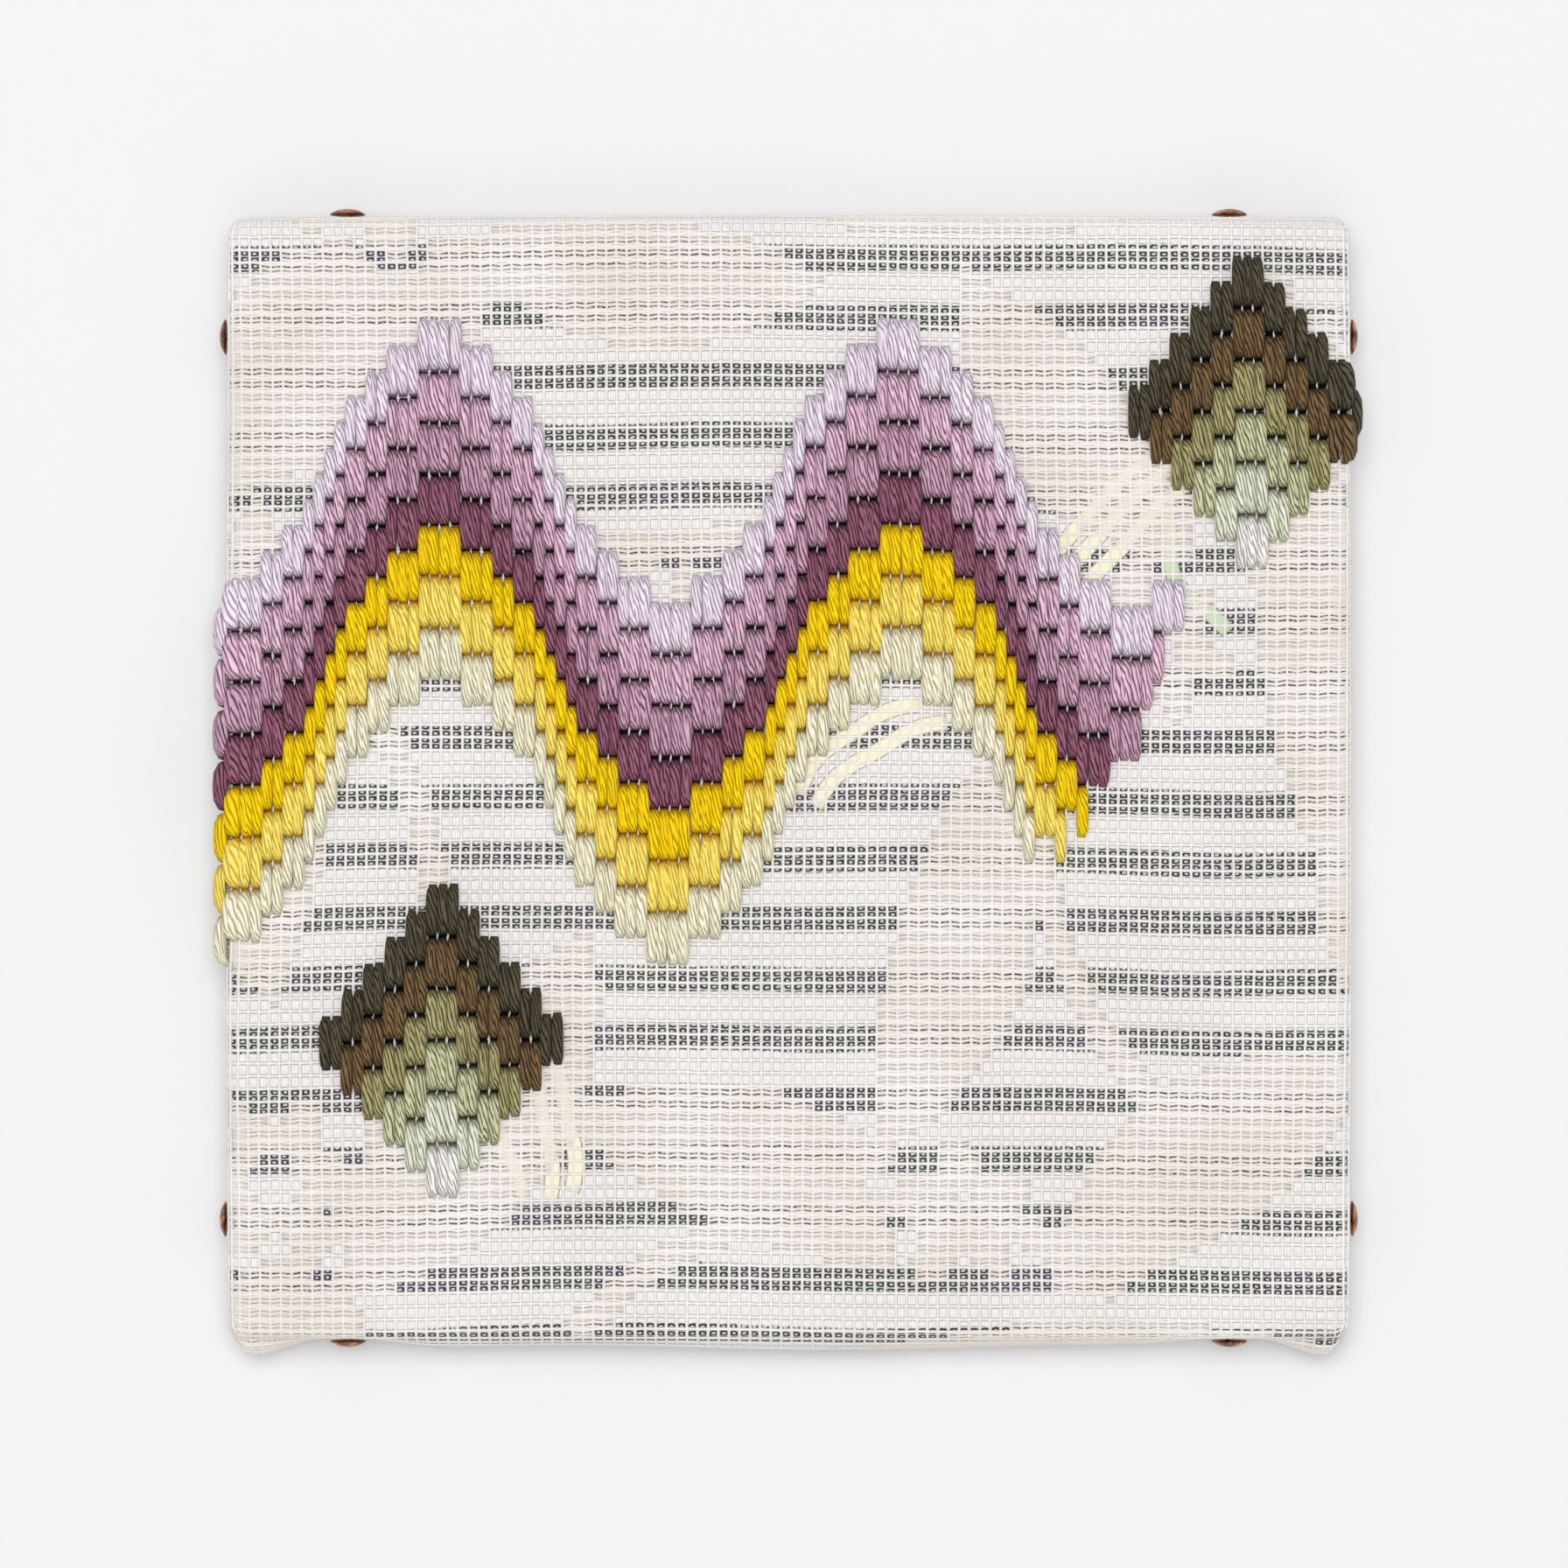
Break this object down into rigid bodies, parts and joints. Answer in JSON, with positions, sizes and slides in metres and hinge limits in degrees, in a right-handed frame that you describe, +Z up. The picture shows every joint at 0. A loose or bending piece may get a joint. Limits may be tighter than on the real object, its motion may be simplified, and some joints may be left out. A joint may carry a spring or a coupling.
{
  "type": "embroidered lace panel on a stretcher frame",
  "caption": "Square wall panel: striped cloth and cream net lace wrapped over a mitred stretcher frame, with flame-stitch wool bands and lozenges, tacked at its sides.",
  "frame": {"origin": "on the back face of the top bar, at the middle of its length, where the wall holds the panel", "axes": "+Z up, +X to the right of someone facing the panel, +Y into the wall: the embroidered face looks along -Y"},
  "size_m": [0.2651, 0.0241, 0.2632],
  "materials": {
    "pine": "planed, unvarnished",
    "ground_cotton": "woven cotton, striped near-black and white",
    "lace_thread": "cream cotton net lace",
    "wool_lilac": "lustrous twisted tapestry wool",
    "wool_light_mauve": "lustrous twisted tapestry wool",
    "wool_mauve": "lustrous twisted tapestry wool",
    "wool_plum": "lustrous twisted tapestry wool",
    "wool_gold": "lustrous twisted tapestry wool",
    "wool_yellow": "lustrous twisted tapestry wool",
    "wool_cream": "lustrous twisted tapestry wool",
    "wool_dark_green": "lustrous twisted tapestry wool",
    "wool_brown": "lustrous twisted tapestry wool",
    "wool_mid_green": "lustrous twisted tapestry wool",
    "wool_light_green": "lustrous twisted tapestry wool",
    "wool_pale_green": "lustrous twisted tapestry wool",
    "wool_white": "lustrous twisted tapestry wool",
    "copper": "copper, slightly dulled"
  },
  "bodies": {
    "root": {"stretcher_top": "pine", "stretcher_bottom": "pine", "stretcher_left": "pine", "stretcher_right": "pine", "ground_cloth": "ground_cotton", "net_lace": "lace_thread", "flame_lilac": "wool_lilac", "flame_light_mauve": "wool_light_mauve", "flame_mauve": "wool_mauve", "flame_plum": "wool_plum", "flame_gold": "wool_gold", "flame_yellow": "wool_yellow", "flame_cream": "wool_cream", "lozenge_left_dark_green": "wool_dark_green", "lozenge_left_brown": "wool_brown", "lozenge_left_mid_green": "wool_mid_green", "lozenge_left_light_green": "wool_light_green", "lozenge_left_pale_green": "wool_pale_green", "lozenge_left_white": "wool_white", "lozenge_right_dark_green": "wool_dark_green", "lozenge_right_brown": "wool_brown", "lozenge_right_mid_green": "wool_mid_green", "lozenge_right_light_green": "wool_light_green", "lozenge_right_pale_green": "wool_pale_green", "lozenge_right_white": "wool_white", "tack_top_1": "copper", "tack_top_2": "copper", "tack_left_1": "copper", "tack_left_2": "copper", "tack_bottom_1": "copper", "tack_bottom_2": "copper", "tack_right_1": "copper", "tack_right_2": "copper"}
  },
  "joints": []
}
